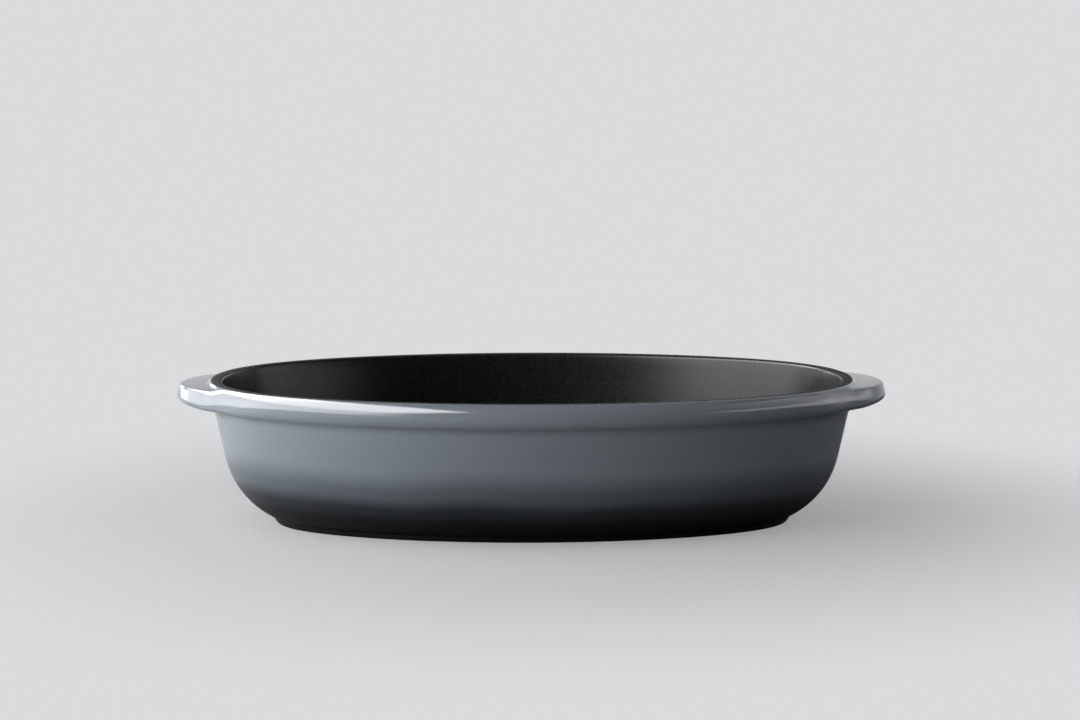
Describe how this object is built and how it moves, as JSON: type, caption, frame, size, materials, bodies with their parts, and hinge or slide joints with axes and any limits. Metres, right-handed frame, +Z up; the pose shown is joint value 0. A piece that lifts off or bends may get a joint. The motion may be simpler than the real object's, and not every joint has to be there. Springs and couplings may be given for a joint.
{
  "type": "oval baking dish",
  "caption": "Oval enamelled cast-iron baking dish with a rounded collar, a tab handle at each long end and a low foot.",
  "frame": {"origin": "middle of the foot, on the surface that the dish stands on", "axes": "+X along the long axis through both handles, +Y across the dish, +Z up through the opening"},
  "size_m": [0.359, 0.2252, 0.0715],
  "materials": {
    "enamelled_iron": "glossy blue-grey enamel outside that darkens towards the foot, satin black enamel inside and on the rim"
  },
  "bodies": {
    "root": {"baking_dish": "enamelled_iron"}
  },
  "joints": []
}
